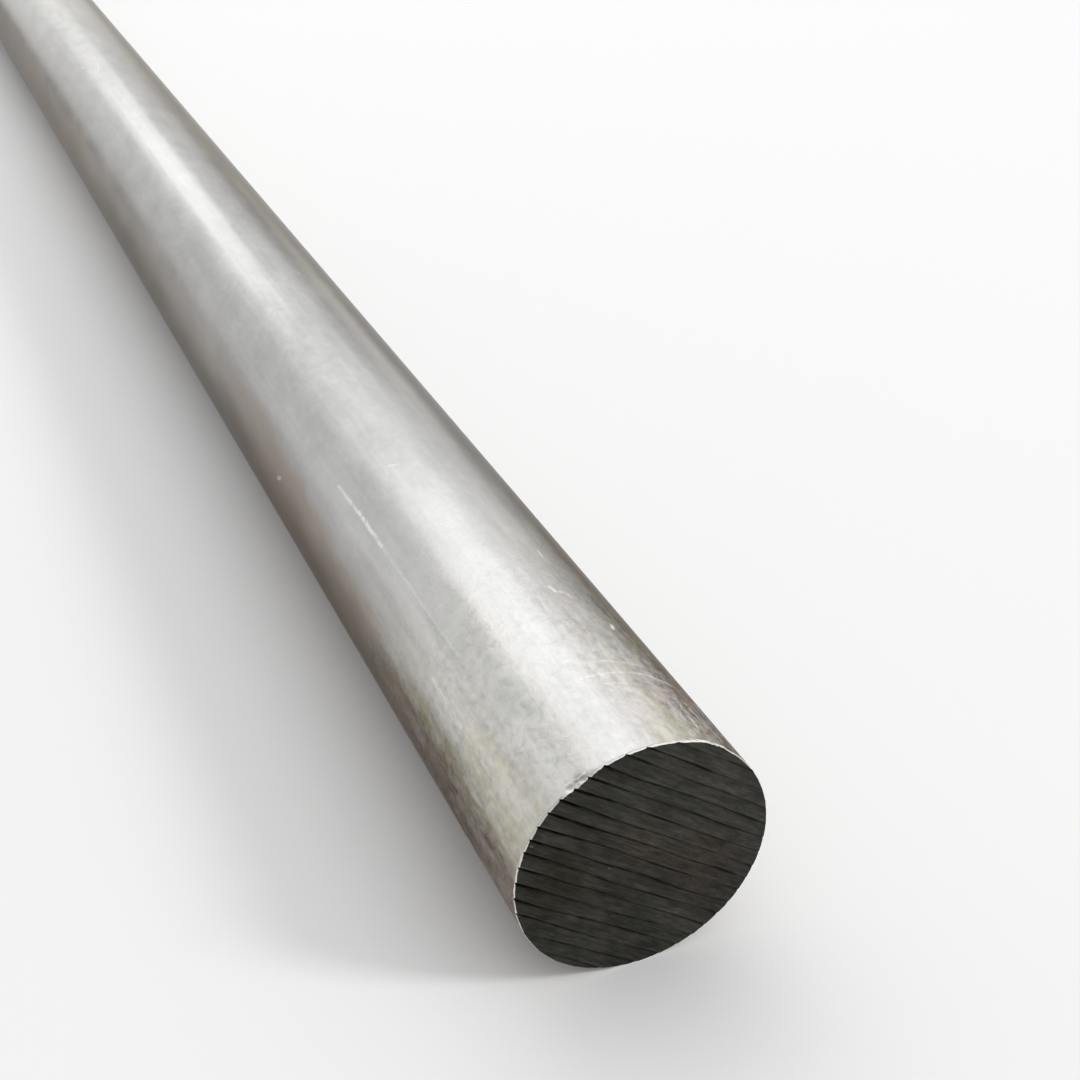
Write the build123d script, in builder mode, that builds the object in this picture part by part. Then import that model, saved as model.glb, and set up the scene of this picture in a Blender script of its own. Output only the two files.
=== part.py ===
from build123d import *
import os

# A round bar of bright-drawn steel, sawn to length. Sizes are in millimetres.
# The bar lies along X on the plane Z = 0, and the origin is below its middle.

bar_diameter = 50.0  # drawn size across the round section
bar_length = 1000.0  # from sawn face to sawn face
edge_break = 0.4  # width of the narrow 45-degree edge left round each sawn face

bar_radius = bar_diameter / 2

# The section stands on the plane of one saw cut, with its lowest point on Z = 0.
first_cut = Plane(origin=(-bar_length / 2, 0, bar_radius), x_dir=(0, 1, 0), z_dir=(1, 0, 0))

with BuildPart() as bar:
    with BuildSketch(first_cut) as section:
        Circle(bar_radius)
    extrude(amount=bar_length)
    sawn_faces = bar.faces().filter_by(GeomType.PLANE)
    chamfer(sawn_faces.edges(), length=edge_break)

bar.part.label = "bar"

os.makedirs("parts", exist_ok=True)
export_step(bar.part, "parts/bar.step")
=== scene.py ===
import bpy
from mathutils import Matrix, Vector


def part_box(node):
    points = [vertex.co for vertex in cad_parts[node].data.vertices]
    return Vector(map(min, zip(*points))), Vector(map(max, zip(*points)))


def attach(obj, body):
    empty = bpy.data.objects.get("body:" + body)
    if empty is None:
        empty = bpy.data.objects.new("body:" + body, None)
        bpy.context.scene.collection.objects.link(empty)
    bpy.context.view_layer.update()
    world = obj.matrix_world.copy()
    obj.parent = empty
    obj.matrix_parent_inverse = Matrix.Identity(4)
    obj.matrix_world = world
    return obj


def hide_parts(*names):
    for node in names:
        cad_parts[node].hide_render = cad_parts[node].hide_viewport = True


bl_info = {
    "name": "Round Bar Stock",
    "version": (1, 0, 0),
    "blender": (4, 5, 0),
    "location": "3D View > Sidebar > Round Bar",
    "description": "Dresses a sawn length of drawn round bar and sets it on a plain studio floor",
    "category": "Add Mesh",
}

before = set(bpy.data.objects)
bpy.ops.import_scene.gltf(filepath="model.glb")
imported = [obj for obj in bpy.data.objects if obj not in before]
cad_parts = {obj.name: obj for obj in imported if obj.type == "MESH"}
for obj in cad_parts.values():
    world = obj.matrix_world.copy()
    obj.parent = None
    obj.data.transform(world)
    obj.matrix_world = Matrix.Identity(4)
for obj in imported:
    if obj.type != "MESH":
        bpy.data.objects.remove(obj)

import math
import random
from types import SimpleNamespace

import bpy
from bpy.props import FloatProperty, FloatVectorProperty, IntProperty, PointerProperty
from bpy.types import Operator, Panel, PropertyGroup
from mathutils import Euler, Quaternion, Vector, noise

MILLIMETRE = 0.001
DEGREE = math.pi / 180
BAND_PERIOD = math.tau / 10  # the wood texture repeats after this much of x + y + z
CAD_LOW, CAD_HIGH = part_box("bar")
BAR_LENGTH = CAD_HIGH.x - CAD_LOW.x
BAR_RADIUS = (CAD_HIGH.y - CAD_LOW.y) / 2
BAR_AXIS = Vector((0, 0, BAR_RADIUS))
NEAR_END = Vector((CAD_HIGH.x, 0, BAR_RADIUS))


class BarShape(PropertyGroup):
    """Sizes of the bar's relief."""

    facets: IntProperty(
        name="Facets", description="Sides of the round section", default=512, min=64
    )
    edge_width: FloatProperty(
        name="Edge width",
        description="Width of the narrow slope round each sawn face",
        default=0.40 * MILLIMETRE, unit="LENGTH", subtype="DISTANCE",
    )
    edge_raggedness: FloatProperty(
        name="Edge raggedness",
        description="How far that slope wanders where the blade tore it",
        default=0.22 * MILLIMETRE, unit="LENGTH", subtype="DISTANCE",
    )
    saw_pitch: FloatProperty(
        name="Saw pitch",
        description="Distance from one saw mark to the next",
        default=2.94 * MILLIMETRE, unit="LENGTH", subtype="DISTANCE",
    )
    saw_depth: FloatProperty(
        name="Saw depth",
        description="Depth of the strongest saw marks",
        default=0.45 * MILLIMETRE, unit="LENGTH", subtype="DISTANCE",
    )
    near_saw_angle: FloatProperty(
        name="Near saw angle",
        description="Slope of the saw marks on the near end",
        default=-36 * DEGREE, unit="ROTATION", subtype="ANGLE",
    )
    far_saw_angle: FloatProperty(
        name="Far saw angle",
        description="Slope of the saw marks on the far end",
        default=21 * DEGREE, unit="ROTATION", subtype="ANGLE",
    )


class BarFinish(PropertyGroup):
    """Colours and gloss of the steel."""

    steel: FloatVectorProperty(
        name="Drawn steel", description="Clean metal along the bar",
        default=(0.49, 0.489, 0.485), size=3, min=0, max=1, subtype="COLOR",
    )
    # Very dark: partly the dull metal's own colour, partly painted shade in place of the dark surroundings
    # the sawn face mirrors.
    sawn: FloatVectorProperty(
        name="Sawn steel", description="Dull metal of the sawn faces",
        default=(0.0525, 0.0512, 0.0438), size=3, min=0, max=1, subtype="COLOR",
    )
    # Darkens the deep saw marks: partly grime, partly painted shade.
    groove_grime_and_shade: FloatVectorProperty(
        name="Saw marks", description="Grime in the saw marks",
        default=(0.008, 0.0075, 0.007), size=3, min=0, max=1, subtype="COLOR",
    )
    bright_steel: FloatVectorProperty(
        name="Bare steel", description="Fresh metal in scratches and on torn edges",
        default=(0.86, 0.85, 0.82), size=3, min=0, max=1, subtype="COLOR",
    )
    # These two colours multiply the steel on its sides and shoulders: partly the bar's own brown and olive
    # tint, partly painted shade.
    stain_light_and_shade: FloatVectorProperty(
        name="Stain", description="What the brown veil multiplies the steel's colour by",
        default=(0.74, 0.645, 0.60), size=3, min=0, max=1, subtype="COLOR",
    )
    olive_stain_and_shade: FloatVectorProperty(
        name="Olive stain", description="The same, where the veil turns olive",
        default=(0.73, 0.70, 0.53), size=3, min=0, max=1, subtype="COLOR",
    )
    steel_roughness: FloatProperty(
        name="Roughness", description="Roughness of the drawn surface",
        default=0.18, min=0, max=1, subtype="FACTOR",
    )


class StudioSettings(PropertyGroup):
    """Floor, light and camera."""

    floor_colour: FloatVectorProperty(
        name="Floor", description="Colour of the floor",
        default=(0.85, 0.85, 0.85), size=3, min=0, max=1, subtype="COLOR",
    )
    floor_side: FloatProperty(
        name="Floor side", description="Side of the square floor",
        default=30.0, unit="LENGTH", subtype="DISTANCE",
    )
    lens: FloatProperty(
        name="Lens", description="Focal length of the camera in millimetres",
        default=54.04, min=1,
    )
    camera_place: FloatVectorProperty(
        name="Camera place", description="Camera measured from the middle of the near end, in bar radii",
        default=(7.744, -4.145, 7.858), size=3,
    )
    camera_pitch: FloatProperty(
        name="Camera pitch", description="How far the camera looks down",
        default=30.78 * DEGREE, unit="ROTATION", subtype="ANGLE",
    )
    camera_heading: FloatProperty(
        name="Camera heading", description="Turn of the camera from +Y towards -X",
        default=66.69 * DEGREE, unit="ROTATION", subtype="ANGLE",
    )


# ---------------------------------------------------------------- modelling

def deselect_all():
    """Leaves nothing selected, so that an operator acts on its own piece alone."""
    if bpy.context.object and bpy.context.object.mode != "OBJECT":
        bpy.ops.object.mode_set(mode="OBJECT")
    bpy.ops.object.select_all(action="DESELECT")


def make_active(piece):
    """Selects one piece alone."""
    deselect_all()
    piece.select_set(True)
    bpy.context.view_layer.objects.active = piece


def apply_place(piece):
    """Moves a piece's place, turn and scale into its mesh."""
    make_active(piece)
    bpy.ops.object.transform_apply(location=True, rotation=True, scale=True)


def apply_modifiers(piece):
    """Applies every modifier of a piece, from the top."""
    make_active(piece)
    for modifier in list(piece.modifiers):
        bpy.ops.object.modifier_apply(modifier=modifier.name)


def weigh_vertices(piece, name, weight_at):
    """Adds a vertex group whose weights come from each vertex's place."""
    group = piece.vertex_groups.new(name=name)
    for vertex in piece.data.vertices:
        group.add([vertex.index], min(max(weight_at(vertex.co), 0.0), 1.0), "REPLACE")
    return group.name


def add_displace(piece, texture, strength, middle=0.5, direction="Z", group="", mapping=None):
    """Adds a Displace modifier, on the piece's own coordinates or on those of an empty."""
    modifier = piece.modifiers.new(texture.name, "DISPLACE")
    modifier.texture = texture
    modifier.strength = strength
    modifier.mid_level = middle
    modifier.direction = direction
    modifier.vertex_group = group
    modifier.texture_coords = "OBJECT" if mapping else "LOCAL"
    if mapping:
        modifier.texture_coords_object = mapping


def add_mapping(name, place, size):
    """Adds an empty that places and stretches a texture."""
    bpy.ops.object.empty_add(location=place)
    mapping = bpy.context.object
    mapping.name = name
    mapping.scale = size
    return mapping


def remove_object(thing):
    """Deletes a helper object."""
    make_active(thing)
    bpy.ops.object.delete()


def cloud_texture(name, size, depth=2):
    """A soft noise texture for Displace."""
    texture = bpy.data.textures.new(name, "CLOUDS")
    texture.noise_scale = size
    texture.noise_depth = depth
    return texture


def saw_mark_texture(name, turbulence, profile):
    """Bands with noise in their line, whose profile goes from one mark to the next."""
    texture = bpy.data.textures.new(name, "WOOD")
    texture.wood_type = "BANDNOISE"
    texture.noise_basis_2 = "SAW"
    texture.noise_scale = 0.45
    texture.turbulence = turbulence
    texture.use_color_ramp = True
    ramp = texture.color_ramp
    ramp.interpolation = "EASE"
    while len(ramp.elements) < len(profile):
        ramp.elements.new(0.5)
    for element, (place, height) in zip(ramp.elements, profile):
        element.position = place
        element.color = (height, height, height, 1)
    return texture


# Damage on the near edge: name, middle and spread in degrees from the top, and in millimetres
# its reach along the bar, how far it lifts the surface and the size of its grain.
EDGE_DAMAGE = (
    ("flattened_corner", -31, 8.5, 1.7, -1.8, 1.9),
    ("rolled_corner", 28, 13, 1.6, 0.9, 0.9),
)


def drawn_blank(shape):
    """The bar before sawing: a little over length, with its edges sloped and slightly torn."""
    spare = 0.7 * MILLIMETRE
    deselect_all()
    bpy.ops.mesh.primitive_cylinder_add(
        vertices=shape.facets, radius=BAR_RADIUS, depth=BAR_LENGTH + 2 * spare,
        end_fill_type="NGON", location=BAR_AXIS, rotation=(0, math.pi / 2, 0),
    )
    blank = bpy.context.object
    blank.name = blank.data.name = "round_bar"
    apply_place(blank)

    slope = blank.modifiers.new("edge_slope", "BEVEL")
    slope.width = spare + shape.edge_width
    slope.segments = 2
    slope.limit_method = "ANGLE"
    slope.angle_limit = 30 * DEGREE
    apply_modifiers(blank)

    # Rings of points, closest together near the edges, let the damage bend the surface.
    ring_insets = (0.7, 1.1, 1.6, 2.2, 3, 5, 10, 30)
    bpy.ops.object.mode_set(mode="EDIT")
    for end in (-1, 1):
        for inset in ring_insets:
            bpy.ops.mesh.select_all(action="SELECT")
            bpy.ops.mesh.bisect(
                plane_co=(end * (BAR_LENGTH / 2 - inset * MILLIMETRE), 0, 0), plane_no=(1, 0, 0)
            )
    bpy.ops.object.mode_set(mode="OBJECT")

    edge_reach = 2 * shape.edge_width
    edge = weigh_vertices(blank, "edge", lambda place: abs(place.x) > BAR_LENGTH / 2 - edge_reach)
    torn = cloud_texture("torn_edge", 1.6 * MILLIMETRE)
    add_displace(blank, torn, shape.edge_raggedness, direction="NORMAL", group=edge)
    for name, degrees, spread, reach, depth, grain in EDGE_DAMAGE:
        middle = degrees * DEGREE

        def nearness(place):
            """1 at the middle of the damage on the near edge, 0 outside it."""
            along = (BAR_LENGTH / 2 - place.x) / (reach * MILLIMETRE)
            turn = math.atan2(place.y, place.z - BAR_RADIUS)
            across = (turn - middle) / (spread * DEGREE)
            return 1 - max(along, 0) ** 2 - across ** 2

        damage = weigh_vertices(blank, name, nearness)
        clump = cloud_texture(name, grain * MILLIMETRE)
        add_displace(blank, clump, depth * MILLIMETRE, 0.1, group=damage)
    apply_modifiers(blank)
    return blank


def saw_block(shape, end, angle, shift):
    """A block whose underside is the sawn face, placed to cut one end of the bar."""
    side = 2.2 * BAR_RADIUS
    deselect_all()
    # X runs along the saw marks and Y across them, where the points lie closer.
    bpy.ops.mesh.primitive_grid_add(x_subdivisions=110, y_subdivisions=440, size=side)
    block = bpy.context.object

    patches_along, patches_across = 90, 330  # in a metre
    entry_start = 0.45  # of the radius, from the middle to where the blade came in
    steady, patchy, hard = 0.45, 0.45, 1.7  # the bite all over, in patches and at the entry

    def bite(place):
        """How hard the blade bit: uneven all over, and hardest where it came in."""
        patch = noise.noise(Vector((place.x * patches_along + shift, place.y * patches_across, shift)))
        entry = max(0.0, -place.x / BAR_RADIUS - entry_start)
        return steady + patchy * patch + hard * entry

    bitten = weigh_vertices(block, "bite", bite)
    moved = shift * MILLIMETRE
    mark_length = 46 * MILLIMETRE
    mark_pitch = shape.saw_pitch / BAND_PERIOD
    fine_pitch = mark_pitch / 3.1
    marks = add_mapping("mark_lines", (moved, 0, 0), (mark_length, mark_pitch, 1))
    # The wood texture adds x to y, which slopes its bands: the turn undoes that slope.
    marks.rotation_euler.z = math.atan(mark_pitch / mark_length)
    lines = add_mapping("fine_lines", (0, moved, 0), (mark_length, fine_pitch, 1))
    streaks = add_mapping("streaks", (moved, 0, 0), (9 * MILLIMETRE, 0.7 * MILLIMETRE, 1))
    ridge = ((0.0, 0.0), (0.06, 0.5), (0.14, 1.0), (0.45, 0.93), (0.8, 0.84), (0.93, 0.6), (1.0, 0.0))
    for texture, depth_share, group, mapping in (
        (saw_mark_texture("saw_marks", 1.5, ridge), 1.00, bitten, marks),
        (saw_mark_texture("fine_marks", 3.0, ridge), 0.10, "", lines),
        (cloud_texture("streak_noise", 1.0, 3), 0.20, "", streaks),
    ):
        add_displace(block, texture, depth_share * shape.saw_depth, 1, group=group, mapping=mapping)
    apply_modifiers(block)
    for helper in (marks, lines, streaks):
        remove_object(helper)

    make_active(block)
    bpy.ops.object.mode_set(mode="EDIT")
    bpy.ops.mesh.select_all(action="SELECT")
    bpy.ops.mesh.extrude_region_move(TRANSFORM_OT_translate={"value": (0, 0, 0.2 * BAR_RADIUS)})
    bpy.ops.mesh.select_all(action="SELECT")
    bpy.ops.mesh.normals_make_consistent(inside=False)
    bpy.ops.object.mode_set(mode="OBJECT")

    face_out = Vector((end, 0, 0)).to_track_quat("Z", "Y")
    slope = Quaternion((end, 0, 0), angle)
    block.rotation_mode = "QUATERNION"
    block.rotation_quaternion = slope @ face_out
    block.location = BAR_AXIS + Vector((end * BAR_LENGTH / 2, 0, 0))
    apply_place(block)
    return block


def saw_end(bar, block):
    """Cuts one end of the bar with a block, and gives the new face the block's material."""
    cut = bar.modifiers.new("saw_cut", "BOOLEAN")
    cut.operation = "DIFFERENCE"
    cut.solver = "EXACT"
    cut.material_mode = "TRANSFER"
    cut.object = block
    apply_modifiers(bar)
    remove_object(block)


def tidy_cuts(bar):
    """Merges the slivers that the cuts left, and splits the faces into clean triangles.

    The cuts number their points in a chance order, so all is sorted first by its distance
    from the 3D cursor, and each run gives the same mesh."""
    sliver = 0.005 * MILLIMETRE
    make_active(bar)
    bpy.ops.object.mode_set(mode="EDIT")
    bpy.ops.mesh.select_all(action="SELECT")
    bpy.ops.mesh.sort_elements(type="CURSOR_DISTANCE", elements={"VERT", "EDGE", "FACE"})
    bpy.ops.mesh.remove_doubles(threshold=sliver)
    bpy.ops.mesh.dissolve_degenerate(threshold=sliver)
    bpy.ops.mesh.quads_convert_to_tris(quad_method="BEAUTY", ngon_method="BEAUTY")
    bpy.ops.object.mode_set(mode="OBJECT")


# ---------------------------------------------------------------- materials

def add_node(tree, kind, inputs=None, **settings):
    """Adds a node, sets its properties and fills or links its inputs."""
    node = tree.nodes.new(kind)
    for name, value in settings.items():
        setattr(node, name, value)
    for name, value in (inputs or {}).items():
        if isinstance(value, bpy.types.NodeSocket):
            tree.links.new(value, node.inputs[name])
        else:
            node.inputs[name].default_value = value
    return node


def calculate(tree, operation, first, second=0.0, third=0.0):
    """The result of one Math node."""
    inputs = {0: first, 1: second}
    if operation == "MULTIPLY_ADD":
        inputs[2] = third
    return add_node(tree, "ShaderNodeMath", inputs, operation=operation).outputs[0]


def vector_math(tree, operation, first, second, output="Vector"):
    """The result of one Vector Math node."""
    return add_node(
        tree, "ShaderNodeVectorMath", {0: first, 1: second}, operation=operation
    ).outputs[output]


def scaled(tree, vector, share):
    """A vector or a colour times one number."""
    return add_node(
        tree, "ShaderNodeVectorMath", {0: vector, "Scale": share}, operation="SCALE"
    ).outputs["Vector"]


def centred(tree, value):
    """A noise from 0 to 1, moved to lie about 0."""
    return calculate(tree, "SUBTRACT", value, 0.5)


def product(tree, value, *others):
    """Several values multiplied together."""
    for other in others:
        value = calculate(tree, "MULTIPLY", value, other)
    return value


def strongest(tree, value, *others):
    """The highest of several values."""
    for other in others:
        value = calculate(tree, "MAXIMUM", value, other)
    return value


def add_shares(tree, total, shares):
    """A value plus a share of each of some others, given as pairs."""
    for value, share in shares:
        total = calculate(tree, "MULTIPLY_ADD", value, share, total)
    return total


def remap(tree, value, low, high, new_low=0.0, new_high=1.0):
    """A value eased from one range to another, and held there."""
    return add_node(
        tree, "ShaderNodeMapRange",
        {"Value": value, "From Min": low, "From Max": high, "To Min": new_low, "To Max": new_high},
        interpolation_type="SMOOTHSTEP",
    ).outputs["Result"]


def by_angle(tree, angle, start, full, low=0.0, high=1.0):
    """Goes from low to high between two angles in degrees."""
    return remap(tree, angle, start * DEGREE, full * DEGREE, low, high)


def blend(tree, share, first, second):
    """A colour between two colours, each a socket or three numbers."""
    first, second = (
        colour if isinstance(colour, bpy.types.NodeSocket) else (*colour, 1) for colour in (first, second)
    )
    mix = tree.nodes.new("ShaderNodeMix")
    mix.data_type = "RGBA"
    for socket, value in zip((mix.inputs[0], mix.inputs[6], mix.inputs[7]), (share, first, second)):
        if isinstance(value, bpy.types.NodeSocket):
            tree.links.new(value, socket)
        else:
            socket.default_value = value
    return mix.outputs[2]


def speckle(tree, place, grain, stretch=(1, 1, 1), detail=2.0, shift=0.0, crinkle=0.0):
    """Noise from 0 to 1 whose grain has this size in metres, stretched along chosen axes."""
    mapped = add_node(
        tree, "ShaderNodeMapping",
        {"Vector": place, "Location": (shift, shift, shift),
         "Scale": tuple(1 / (grain * share) for share in stretch)},
    ).outputs["Vector"]
    return add_node(
        tree, "ShaderNodeTexNoise",
        {"Vector": mapped, "Scale": 1.0, "Detail": detail, "Roughness": 0.55, "Distortion": crinkle},
    ).outputs[0]


def new_material(name):
    """A material whose node tree is empty, ready to be wired."""
    material = bpy.data.materials.new(name)
    material.use_nodes = True
    material.node_tree.nodes.clear()
    return material, material.node_tree


def finish_metal(tree, colour, roughness, height, extra=None):
    """Ends a metal's tree with its bump, its shader and its output."""
    relief = add_node(tree, "ShaderNodeBump", {"Strength": 1.0, "Distance": 1.0, "Height": height})
    inputs = {
        "Base Color": colour, "Metallic": 1.0, "Roughness": roughness,
        "Normal": relief.outputs["Normal"],
    }
    shader = add_node(tree, "ShaderNodeBsdfPrincipled", inputs | (extra or {}))
    add_node(tree, "ShaderNodeOutputMaterial", {"Surface": shader.outputs["BSDF"]})


def mark_group():
    """A node group that is 1 on the line from Start to End and 0 past Width from it."""
    tree = bpy.data.node_groups.new("straight_mark", "ShaderNodeTree")
    for name, kind in (("Place", "Vector"), ("Start", "Vector"), ("End", "Vector"), ("Width", "Float")):
        tree.interface.new_socket(name, in_out="INPUT", socket_type="NodeSocket" + kind)
    tree.interface.new_socket("Mask", in_out="OUTPUT", socket_type="NodeSocketFloat")
    given = tree.nodes.new("NodeGroupInput").outputs

    line = vector_math(tree, "SUBTRACT", given["End"], given["Start"])
    reach = vector_math(tree, "SUBTRACT", given["Place"], given["Start"])
    passed = vector_math(tree, "DOT_PRODUCT", reach, line, "Value")
    whole = vector_math(tree, "DOT_PRODUCT", line, line, "Value")
    share = calculate(tree, "DIVIDE", passed, whole)
    share = add_node(tree, "ShaderNodeClamp", {"Value": share}).outputs["Result"]
    distance = vector_math(tree, "DISTANCE", reach, scaled(tree, line, share), "Value")
    mask = remap(tree, distance, 0.0, given["Width"], 1.0, 0.0)
    add_node(tree, "NodeGroupOutput", {"Mask": mask})
    return tree


def steel_marks():
    """Scratches and nicks, each with its two ends, its width in millimetres and its strength.

    An end is so many metres from the near sawn face and so many degrees from the top. Seen from
    that face, left is -Y and its degrees are negative. The listed marks are the bar's own. The
    rest are handling marks, scattered all round."""
    r = BAR_RADIUS
    marks = [
        # The long scratch on the left shoulder, faint at its near end.
        ((3.70 * r, -43.0), (4.35 * r, -43.1), 0.70, 0.85),
        ((4.35 * r, -43.4), (4.90 * r, -44.2), 0.62, 0.55),
        ((1.90 * r, -42.2), (3.70 * r, -42.9), 0.45, 0.20),
        # Scratches lower down on that side, and one nick.
        ((0.25 * r, -61.3), (1.30 * r, -59.6), 0.45, 0.34),
        ((1.35 * r, -59.5), (2.00 * r, -58.4), 0.75, 0.65),
        ((1.42 * r, -61.0), (1.86 * r, -60.4), 0.50, 0.45),
        ((6.05 * r, -74.0), (6.15 * r, -76.0), 0.85, 0.62),
        # Nicks on the top and on the right shoulder.
        ((1.58 * r, 29.0), (1.64 * r, 30.5), 0.80, 1.00),
        ((2.09 * r, 17.5), (2.10 * r, 16.0), 0.70, 0.75),
        ((2.11 * r, 13.4), (2.18 * r, 12.2), 0.75, 0.80),
        ((2.00 * r, 19.0), (2.06 * r, 18.6), 0.55, 0.55),
        ((4.60 * r, -12.0), (4.64 * r, -16.0), 0.60, 0.35),
        # Fine scratches across the bar, then along it, on the right shoulder near the edge.
        ((0.80 * r, 46.0), (0.90 * r, 22.0), 0.55, 0.55),
        ((0.90 * r, 22.0), (0.93 * r, -4.0), 0.55, 0.38),
        ((0.98 * r, 40.0), (1.08 * r, 8.0), 0.50, 0.42),
        ((0.70 * r, 30.0), (0.79 * r, 6.0), 0.50, 0.35),
        ((0.28 * r, 38.0), (0.62 * r, 36.0), 0.55, 0.55),
        ((0.20 * r, 30.0), (0.52 * r, 31.5), 0.60, 0.55),
        ((0.10 * r, 41.0), (0.40 * r, 40.0), 0.55, 0.45),
        ((0.34 * r, 26.0), (0.50 * r, 25.0), 0.50, 0.45),
        # Rubbed patches on the left shoulder, next to the edge.
        ((0.10 * r, -37.0), (0.80 * r, -39.0), 5.50, 0.44),
        ((0.10 * r, -56.0), (0.60 * r, -57.0), 4.50, 0.34),
        # Bare metal on the two damaged spots of the edge.
        ((0.00 * r, -25.0), (0.02 * r, -37.0), 1.60, 1.00),
        ((0.07 * r, -26.5), (0.08 * r, -35.5), 0.50, 1.00),
        ((0.00 * r, 16.0), (0.02 * r, 38.0), 1.10, 1.00),
    ]
    handling_marks = 26
    chance = random.Random(50)
    for _ in range(handling_marks):
        along = chance.uniform(0.02, 0.98) * BAR_LENGTH
        angle = chance.uniform(-180, 180)
        length = chance.choice((0.001, 0.003, 0.008, 0.022))
        tilt = chance.gauss(0, 4)
        width = chance.uniform(0.2, 0.4)
        strength = chance.uniform(0.3, 0.7)
        marks.append(((along, angle), (along + length, angle + tilt), width, strength))
    return marks


class BarPlace:
    """Where a point of the drawn surface lies: sockets that the parts of the finish share."""

    def __init__(self, tree):
        self.tree = tree
        self.point = add_node(tree, "ShaderNodeTexCoord").outputs["Object"]
        x, self.y, z = add_node(tree, "ShaderNodeSeparateXYZ", {"Vector": self.point}).outputs
        self.angle = calculate(tree, "ARCTAN2", self.y, calculate(tree, "SUBTRACT", z, BAR_RADIUS))
        self.from_near = calculate(tree, "SUBTRACT", BAR_LENGTH / 2, x)
        self.from_end = calculate(tree, "SUBTRACT", BAR_LENGTH / 2, calculate(tree, "ABSOLUTE", x))
        # How far round from the middle of the clean top, which leans to the left near the ends.
        lean = self.along(200, 30, 4 * DEGREE, 20 * DEGREE)
        self.side = calculate(tree, "ABSOLUTE", calculate(tree, "ADD", self.angle, lean))

    def along(self, start, full, low=0.0, high=1.0):
        """Goes from low to high between two distances from the nearer end, in millimetres."""
        return remap(self.tree, self.from_end, start * MILLIMETRE, full * MILLIMETRE, low, high)


def scratch_mask(tree, place, mottle):
    """1 where the surface is scratched, nicked or torn to bare metal, with marks that wobble a little."""
    wobbles = 350.0  # in a metre
    wobble_depth = 0.5 * MILLIMETRE
    wobble = add_node(tree, "ShaderNodeTexNoise", {"Vector": place.point, "Scale": wobbles}).outputs[1]
    wobble = vector_math(tree, "MULTIPLY", wobble, (wobble_depth, wobble_depth, 0))
    around = calculate(tree, "MULTIPLY", place.angle, BAR_RADIUS)
    unrolled = add_node(tree, "ShaderNodeCombineXYZ", {"X": place.from_near, "Y": around})
    unrolled = vector_math(tree, "ADD", unrolled.outputs["Vector"], wobble)
    group = mark_group()
    scratched = 0.0
    for start, end, width, strength in steel_marks():
        mark = tree.nodes.new("ShaderNodeGroup")
        mark.node_tree = group
        tree.links.new(unrolled, mark.inputs["Place"])
        for name, (along, degrees) in (("Start", start), ("End", end)):
            mark.inputs[name].default_value = (along, degrees * DEGREE * BAR_RADIUS, 0)
        mark.inputs["Width"].default_value = width * MILLIMETRE
        scratched = strongest(tree, product(tree, mark.outputs["Mask"], strength), scratched)
    scratched = product(tree, scratched, remap(tree, mottle, 0.34, 0.58, 0.25, 1.0))
    torn = add_shares(tree, place.from_end, [(mottle, 0.7 * MILLIMETRE)])
    torn = remap(tree, torn, 0.95 * MILLIMETRE, 0.65 * MILLIMETRE)
    return strongest(tree, scratched, torn)


def stain_light_and_shade_masks(tree, place, near_ends, handled, clouds, smears, waves):
    """The parts of the brown tint and of the painted light and shade, how strong the tint is in all, and
    how far it turns from brown to olive.

    The veil covers both sides and the underside near the ends and darkens them, partly as brown tint,
    partly as painted shade. The blotches lie on the shoulders near the ends and darken them the same way,
    and bright creases are worn through them on one side. The film tints all but the top, and its share of
    the level lifts the brightness there as painted light."""
    # The veil: the sides and underside near the ends, tinted brown and darkened, partly the bar's own
    # tint, partly painted shade.
    ragged_side = add_shares(tree, place.side, [(centred(tree, smears), 22 * DEGREE)])
    veil_and_shade = product(tree, by_angle(tree, ragged_side, 45, 61), place.along(300, 130, 0.0, 0.80))

    streaky = speckle(tree, place.point, 2.6 * MILLIMETRE, (4, 1, 1), detail=4, shift=21.0, crinkle=0.6)
    streaky = product(tree, remap(tree, streaky, 0.40, 0.60, 0.25, 1.2), near_ends)
    # Blotches on the shoulders near the ends: a blotchy brown tint that also darkens the steel as painted
    # shade.
    blotches_and_shade = product(tree, streaky, by_angle(tree, place.side, 42, 58))

    creases = speckle(tree, place.point, 1.7 * MILLIMETRE, (1.5, 1, 1), detail=3, shift=41.0, crinkle=1.4)
    creases = product(
        tree, remap(tree, creases, 0.46, 0.58), handled, by_angle(tree, place.angle, 14, 34)
    )

    # The film: a brown tint on all but the top, whose share of the level lifts the sides' brightness as
    # painted light.
    off_top = calculate(tree, "ABSOLUTE", calculate(tree, "ADD", place.angle, 20 * DEGREE))
    off_top = add_shares(tree, off_top, [(near_ends, 16 * DEGREE)])
    strength = add_shares(tree, place.along(130, 300, 0.16, 0.46), [(handled, 0.30), (streaky, 0.28)])
    film_and_painted_light = product(tree, by_angle(tree, off_top, 24, 54), strength)

    # Along the middle of the bar the sides are painted lighter, as painted light, with a paler share of
    # the brown tint, and its edge wanders.
    wandering_side = add_shares(tree, ragged_side, [(centred(tree, waves), 60 * DEGREE)])
    pale = product(tree, place.along(330, 460), by_angle(tree, wandering_side, 50, 66))

    # The brown tint, partly painted shade, is olive in places, and all along the left shoulder close to
    # the ends.
    left_shoulder = product(
        tree, by_angle(tree, place.angle, -8, -26), by_angle(tree, place.angle, -88, -72),
        place.along(110, 45, 0.0, 0.9),
    )
    olive_places = product(
        tree, remap(tree, clouds, 0.4, 0.6),
        remap(tree, place.y, -0.8 * BAR_RADIUS, -0.2 * BAR_RADIUS, 0.15, 1.0),
    )
    return SimpleNamespace(
        film_and_painted_light=film_and_painted_light, blotches_and_shade=blotches_and_shade, creases=creases, pale=pale, left_shoulder=left_shoulder,
        olive=strongest(tree, olive_places, left_shoulder),
        strength=strongest(
            tree, veil_and_shade, blotches_and_shade, film_and_painted_light, product(tree, pale, 0.62), product(tree, left_shoulder, 0.17)
        ),
    )


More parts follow.
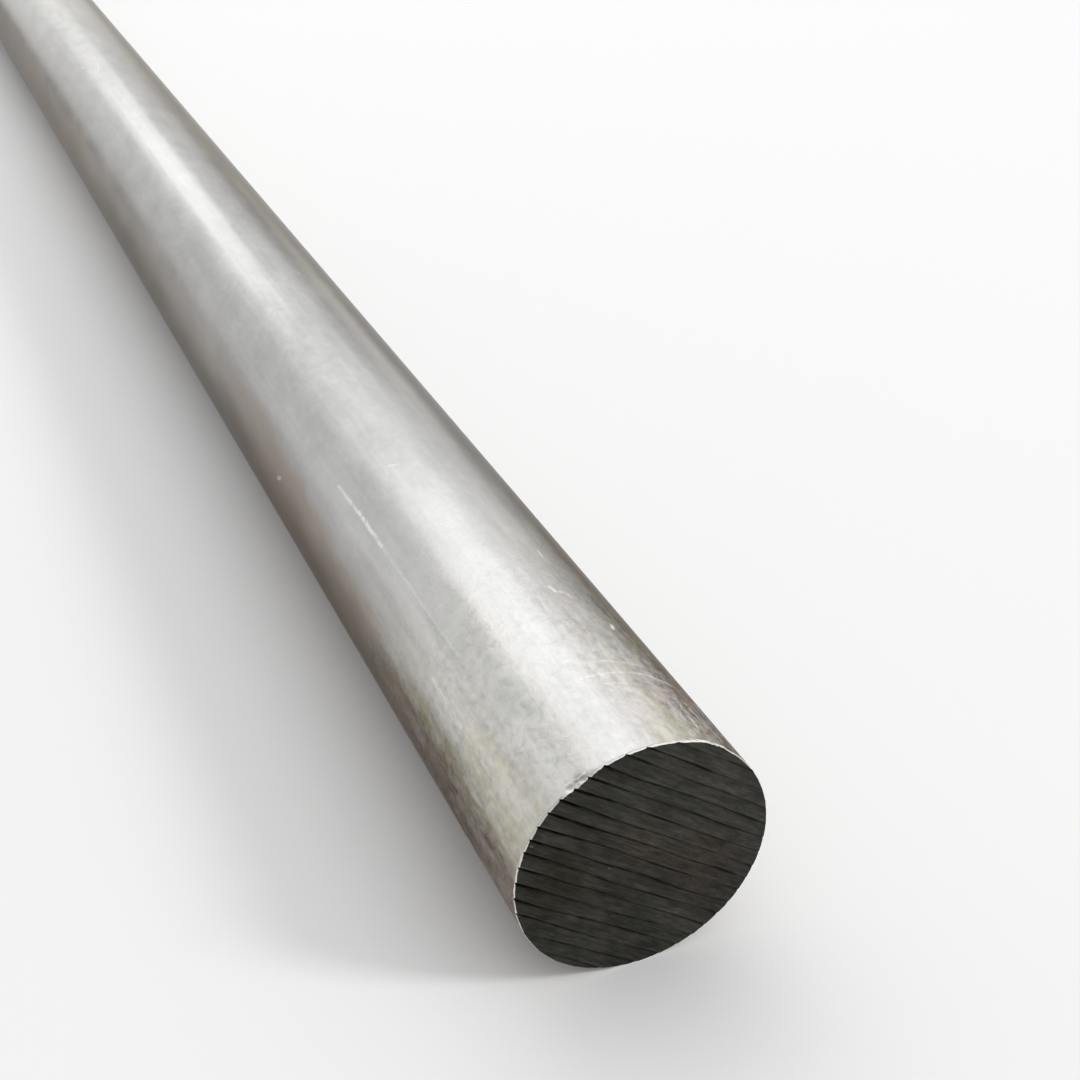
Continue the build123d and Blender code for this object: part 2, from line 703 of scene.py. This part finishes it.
def drawn_surface_material(finish):
    """Satin drawn steel: cloudy, mottled, lined along the bar, scratched, brown towards its sides, with
    painted shade darkening its sides and shoulders and painted light lifting its sides.
    """
    material, tree = new_material("drawn_steel_surface")
    place = BarPlace(tree)
    point = place.point

    clouds = speckle(tree, point, 11 * MILLIMETRE, (2.6, 1, 1), detail=3)
    smears = speckle(tree, point, 5 * MILLIMETRE, (3.0, 1, 1), detail=4, shift=3.7)
    mottle = speckle(tree, point, 2.2 * MILLIMETRE, (1.3, 1, 1), detail=3, shift=9.1, crinkle=0.8)
    grain = speckle(tree, point, 0.45 * MILLIMETRE, detail=2, shift=5.3)
    grit = speckle(tree, point, 1.3 * MILLIMETRE, (1.8, 1, 1), detail=4, shift=61.0, crinkle=0.2)
    stripes = speckle(tree, point, 3.5 * MILLIMETRE, (12, 1, 1), detail=3, shift=14.6)
    lines = speckle(tree, point, 0.5 * MILLIMETRE, (160, 1, 1), detail=2)
    bands = speckle(tree, point, 2.4 * MILLIMETRE, (70, 1, 1), detail=2, shift=1.9)
    waves = speckle(tree, point, 42 * MILLIMETRE, (2, 1, 1), shift=33.0)

    # Towards the ends, hands and the saw have dulled the film of oil and roughened the skin.
    dulled = place.along(190, 25, 0.35, 1.0)
    marked = place.along(90, 20, 0.20, 1.0)
    handled = place.along(45, 6)
    near_ends = place.along(140, 20)
    flank = by_angle(tree, place.side, 14, 34, 0.3, 1.0)
    worn = product(tree, remap(tree, smears, 0.35, 0.65), marked)
    mottled = product(tree, centred(tree, mottle), marked)
    skin = product(tree, flank, place.along(80, 22), centred(tree, grit))
    striped = product(tree, near_ends, centred(tree, stripes), flank)
    # Painted shade: the right shoulder is darker near the ends.
    painted_shoulder_shade = add_shares(tree, near_ends, [(handled, 0.5)])
    painted_shoulder_shade = product(tree, by_angle(tree, place.angle, 24, 42), painted_shoulder_shade)

    scratched = scratch_mask(tree, place, mottle)
    stain_light_and_shade = stain_light_and_shade_masks(tree, place, near_ends, handled, clouds, smears, waves)

    # The noises add 0.38 on average, which brings clean steel to 1. The film's and the pale middle's
    # shares lift the sides as painted light; the blotches' share and the shoulder shade darken the
    # shoulders as painted shade.
    level = add_shares(tree, 0.62, (
        (clouds, 0.26), (mottled, 0.65), (skin, 0.95), (striped, 1.00), (smears, 0.24),
        (lines, 0.08), (bands, 0.10), (grain, 0.08), (stain_light_and_shade.film_and_painted_light, 0.42), (stain_light_and_shade.blotches_and_shade, -0.26),
        (stain_light_and_shade.creases, 0.35), (stain_light_and_shade.pale, 0.22), (stain_light_and_shade.left_shoulder, 0.09), (painted_shoulder_shade, -0.21),
    ))
    clean = scaled(tree, finish.steel, level)
    tint = blend(tree, stain_light_and_shade.olive, finish.stain_light_and_shade, finish.olive_stain_and_shade)
    # The brown tint darkens the steel where the masks above are strong: partly the bar's own tint, partly
    # painted shade.
    colour = blend(tree, stain_light_and_shade.strength, clean, vector_math(tree, "MULTIPLY", clean, tint))
    colour = blend(tree, scratched, colour, finish.bright_steel)

    # The clouds add 0.06 on average.
    roughness = add_shares(tree, finish.steel_roughness - 0.06, (
        (clouds, 0.12), (worn, 0.06), (dulled, 0.09), (handled, 0.07), (mottled, 0.30),
        (scratched, 0.20),
    ))
    depths = (
        (clouds, 0.075), (waves, 0.16), (mottled, 0.070), (stain_light_and_shade.creases, 0.060), (smears, 0.014),
        (lines, 0.0014), (bands, 0.006), (scratched, -0.03),
    )
    height = add_shares(tree, 0.0, [(value, depth * MILLIMETRE) for value, depth in depths])
    clean_rim, stained_rim = (0.36, 0.357, 0.35), (0.36, 0.33, 0.29)
    rim = blend(tree, stain_light_and_shade.strength, clean_rim, stained_rim)
    finish_metal(tree, colour, roughness, height, {"Specular Tint": rim})
    return material


# Faint stains on a sawn face: place across and up from its middle, reach in radii, and tint.
FACE_STAINS = (
    (0.45, -0.20, 0.20, (1.16, 0.95, 0.90)),
    (-0.66, 0.02, 0.22, (0.60, 0.57, 0.42)),
    (-0.05, 0.10, 0.25, (1.10, 0.98, 0.92)),
)


def sawn_face_material(name, finish, end, angle):
    """Dull sawn steel, finely scored along the saw marks, with a few faint stains. It is darker down in
    the saw marks, partly as grime and partly as painted shade, and lighter near the crests as painted
    light; its very dark colour is partly painted shade too.
    """
    material, tree = new_material(name)
    point = add_node(tree, "ShaderNodeTexCoord").outputs["Object"]
    x = add_node(tree, "ShaderNodeSeparateXYZ", {"Vector": point}).outputs["X"]
    reach = calculate(tree, "ABSOLUTE", x)

    def by_depth(start, full, low=0.0, high=1.0):
        """Goes from low to high between two depths below the end of the bar, in millimetres."""
        top = BAR_LENGTH / 2
        return remap(tree, reach, top - start * MILLIMETRE, top - full * MILLIMETRE, low, high)

    # Turned so that Y runs along the saw marks and Z across them.
    turned = add_node(
        tree, "ShaderNodeVectorRotate",
        {"Vector": point, "Center": BAR_AXIS, "Axis": (1, 0, 0), "Angle": -end * angle},
    ).outputs["Vector"]
    score = speckle(tree, turned, 0.30 * MILLIMETRE, (1, 14, 1), detail=4)
    band = speckle(tree, turned, 1.3 * MILLIMETRE, (1, 12, 1), detail=2, shift=4.0)
    patch = speckle(tree, turned, 7 * MILLIMETRE, (1, 1.4, 1), detail=3, shift=8.0)
    grime = speckle(tree, turned, 0.9 * MILLIMETRE, (1, 3, 1), detail=4, shift=50.0, crinkle=0.5)
    nick = speckle(tree, turned, 0.7 * MILLIMETRE, (1, 5, 1), detail=2, shift=30.0)
    broken = speckle(tree, turned, 1.6 * MILLIMETRE, (1, 3, 1), detail=3, shift=12.0)

    # Towards the top of the relief the level rises: painted light on the crests.
    level = product(
        tree, add_shares(tree, 0.42, [(score, 1.2)]),
        remap(tree, band, 0.3, 0.7, 0.80, 1.20), remap(tree, patch, 0.3, 0.7, 0.85, 1.15),
        remap(tree, grime, 0.3, 0.7, 0.78, 1.22), by_depth(0.08, 0.01, 0.85, 1.30),
    )
    colour = scaled(tree, finish.sawn, level)
    for across, up, stain_reach, tint in FACE_STAINS:
        middle = Vector((end * BAR_LENGTH / 2, end * across * BAR_RADIUS, (1 + up) * BAR_RADIUS))
        away = vector_math(tree, "DISTANCE", point, middle, "Value")
        away = add_shares(tree, away, [(patch, 0.25 * BAR_RADIUS)])
        share = remap(tree, away, stain_reach * BAR_RADIUS, 0.55 * BAR_RADIUS, 0.9, 0.0)
        colour = blend(tree, share, colour, vector_math(tree, "MULTIPLY", colour, tint))
    nicked = product(tree, remap(tree, nick, 0.74, 0.80), 0.35)
    colour = blend(tree, nicked, colour, finish.bright_steel)
    # The deep saw marks darken: partly grime, partly painted shade.
    grime_and_shade_in_grooves = product(tree, by_depth(0.10, 0.24), remap(tree, broken, 0.35, 0.6, 0.45, 1.0))
    colour = blend(tree, grime_and_shade_in_grooves, colour, finish.groove_grime_and_shade)

    roughness = remap(tree, band, 0.3, 0.7, 0.48, 0.62)
    height = add_shares(tree, 0.0, [(score, 0.05 * MILLIMETRE), (grime, 0.08 * MILLIMETRE)])
    finish_metal(tree, colour, roughness, height)
    return material


# ---------------------------------------------------------------- light

# The room's light: direction, how tight the glow is, and its strength. A dark place is negative.
ROOM_LEVEL = 0.18
ROOM_GLOWS = (
    ((-1, 0, 0), 2, 0.70),
    ((-1, 0, 0.02), 40, 4.0),
    ((-0.75, 0.65, 0.3), 4, 0.65),
    ((-0.75, -0.65, 0.25), 14, 0.30),
    ((-0.5, 0, 0.87), 3, 0.72),
    ((1, 0, 0.3), 2, 0.30),
    ((0.67, 0.35, 0.66), 9, 1.0),
    ((-0.883, -0.321, 0.342), 60, -0.34),
    ((-0.922, 0.373, 0.105), 300, -0.70),
    ((-0.888, 0.400, 0.226), 300, -0.45),
    ((-0.875, 0.485, 0.02), 200, 0.80),
    ((-0.72, 0.68, 0.15), 110, -0.40),
    ((-0.700, -0.690, 0.180), 40, 0.20),
)
# The lamps: name, place, the place each one aims at, its two sides in metres, and its radiance.
LAMPS = (
    ("near_strip", (-0.5, 0.10, 1.0), (-0.5, 0.10, 0), (0.8, 1.0), 0.86),
    ("far_strip", (-2.25, 0.06, 1.0), (-2.25, 0.06, 0), (0.6, 0.55), 1.75),
    ("end_strip", (-2.85, -0.02, 1.0), (-2.85, -0.02, 0), (0.6, 0.75), 1.75),
    ("side_softbox", (2.4, 2.6, 2.3), (0, 0, 0), (0.8, 0.8), 31.0),
)


# ---------------------------------------------------------------- operators

class MESH_OT_round_bar(Operator):
    """Makes the bar: a drawn blank, sawn at both ends"""

    bl_idname = "mesh.round_bar"
    bl_label = "Round Bar"
    bl_options = {"REGISTER", "UNDO"}

    def execute(self, context):
        shape, finish = context.scene.bar_shape, context.scene.bar_finish
        bar = drawn_blank(shape)
        bar.data.materials.append(drawn_surface_material(finish))
        for end, name, angle, shift in (
            (1, "near_sawn_face", shape.near_saw_angle, 3.0),
            (-1, "far_sawn_face", shape.far_saw_angle, 17.0),
        ):
            block = saw_block(shape, end, angle, shift)
            block.data.materials.append(sawn_face_material(name, finish, end, angle))
            saw_end(bar, block)
        tidy_cuts(bar)
        bpy.ops.object.shade_smooth_by_angle(angle=32 * DEGREE)
        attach(bar, "root")
        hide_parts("bar")
        return {"FINISHED"}


class SCENE_OT_bar_studio(Operator):
    """Lays the pale floor, hangs the lights and places the camera"""

    bl_idname = "scene.bar_studio"
    bl_label = "Studio"
    bl_options = {"REGISTER", "UNDO"}

    def execute(self, context):
        studio = context.scene.bar_studio
        self.lay_floor(studio)
        self.light(context)
        self.place_camera(context, studio)
        context.scene.view_settings.view_transform = "Standard"
        return {"FINISHED"}

    def lay_floor(self, studio):
        deselect_all()
        bpy.ops.mesh.primitive_plane_add(size=studio.floor_side)
        floor = bpy.context.object
        floor.name = "studio_floor"
        material, tree = new_material("studio_floor")
        shader = add_node(tree, "ShaderNodeBsdfDiffuse", {"Color": (*studio.floor_colour, 1)})
        add_node(tree, "ShaderNodeOutputMaterial", {"Surface": shader.outputs["BSDF"]})
        floor.data.materials.append(material)

    def light(self, context):
        """A soft room, brightest beyond the far end, with strips overhead and a softbox to the right."""
        world = bpy.data.worlds.new("studio_air")
        context.scene.world = world
        world.use_nodes = True
        tree = world.node_tree
        tree.nodes.clear()
        toward = add_node(tree, "ShaderNodeTexCoord").outputs["Generated"]
        glows = []
        for direction, tightness, strength in ROOM_GLOWS:
            middle = Vector(direction).normalized()
            facing = vector_math(tree, "DOT_PRODUCT", toward, middle, "Value")
            facing = calculate(tree, "POWER", calculate(tree, "MAXIMUM", facing), tightness)
            glows.append((facing, strength))
        level = add_shares(tree, ROOM_LEVEL, glows)
        background = add_node(
            tree, "ShaderNodeBackground", {"Color": (1, 1, 1, 1), "Strength": level}
        )
        add_node(tree, "ShaderNodeOutputWorld", {"Surface": background.outputs["Background"]})

        for name, place, aim, size, radiance in LAMPS:
            turn = (Vector(aim) - Vector(place)).to_track_quat("-Z", "Y")
            bpy.ops.object.light_add(type="AREA", location=place, rotation=turn.to_euler())
            lamp = bpy.context.object
            lamp.name = name
            lamp.data.shape = "RECTANGLE"
            lamp.data.size, lamp.data.size_y = size
            lamp.data.energy = math.pi * size[0] * size[1] * radiance

    def place_camera(self, context, studio):
        place = NEAR_END + Vector(studio.camera_place) * BAR_RADIUS
        turn = Euler((math.pi / 2 - studio.camera_pitch, 0, studio.camera_heading))
        bpy.ops.object.camera_add(location=place, rotation=turn)
        camera = bpy.context.object
        camera.name = "studio_camera"
        camera.data.lens = studio.lens
        camera.data.clip_start = 0.01
        context.scene.camera = camera


class VIEW3D_PT_round_bar(Panel):
    """Sizes, finish and studio of the round bar"""

    bl_label = "Round Bar"
    bl_space_type = "VIEW_3D"
    bl_region_type = "UI"
    bl_category = "Round Bar"

    def draw(self, context):
        scene = context.scene
        for title, settings, operator in (
            ("Shape", scene.bar_shape, MESH_OT_round_bar.bl_idname),
            ("Finish", scene.bar_finish, None),
            ("Studio", scene.bar_studio, SCENE_OT_bar_studio.bl_idname),
        ):
            box = self.layout.box()
            box.label(text=title)
            for name in settings.__annotations__:
                box.prop(settings, name)
            if operator:
                box.operator(operator)


CLASSES = (
    BarShape, BarFinish, StudioSettings, MESH_OT_round_bar, SCENE_OT_bar_studio, VIEW3D_PT_round_bar,
)


def register():
    for cls in CLASSES:
        bpy.utils.register_class(cls)
    bpy.types.Scene.bar_shape = PointerProperty(type=BarShape)
    bpy.types.Scene.bar_finish = PointerProperty(type=BarFinish)
    bpy.types.Scene.bar_studio = PointerProperty(type=StudioSettings)


def unregister():
    for name in ("bar_shape", "bar_finish", "bar_studio"):
        delattr(bpy.types.Scene, name)
    for cls in reversed(CLASSES):
        bpy.utils.unregister_class(cls)


def main():
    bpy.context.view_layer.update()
    register()
    bpy.ops.scene.bar_studio()
    bpy.ops.mesh.round_bar()


if __name__ == "__main__":
    main()
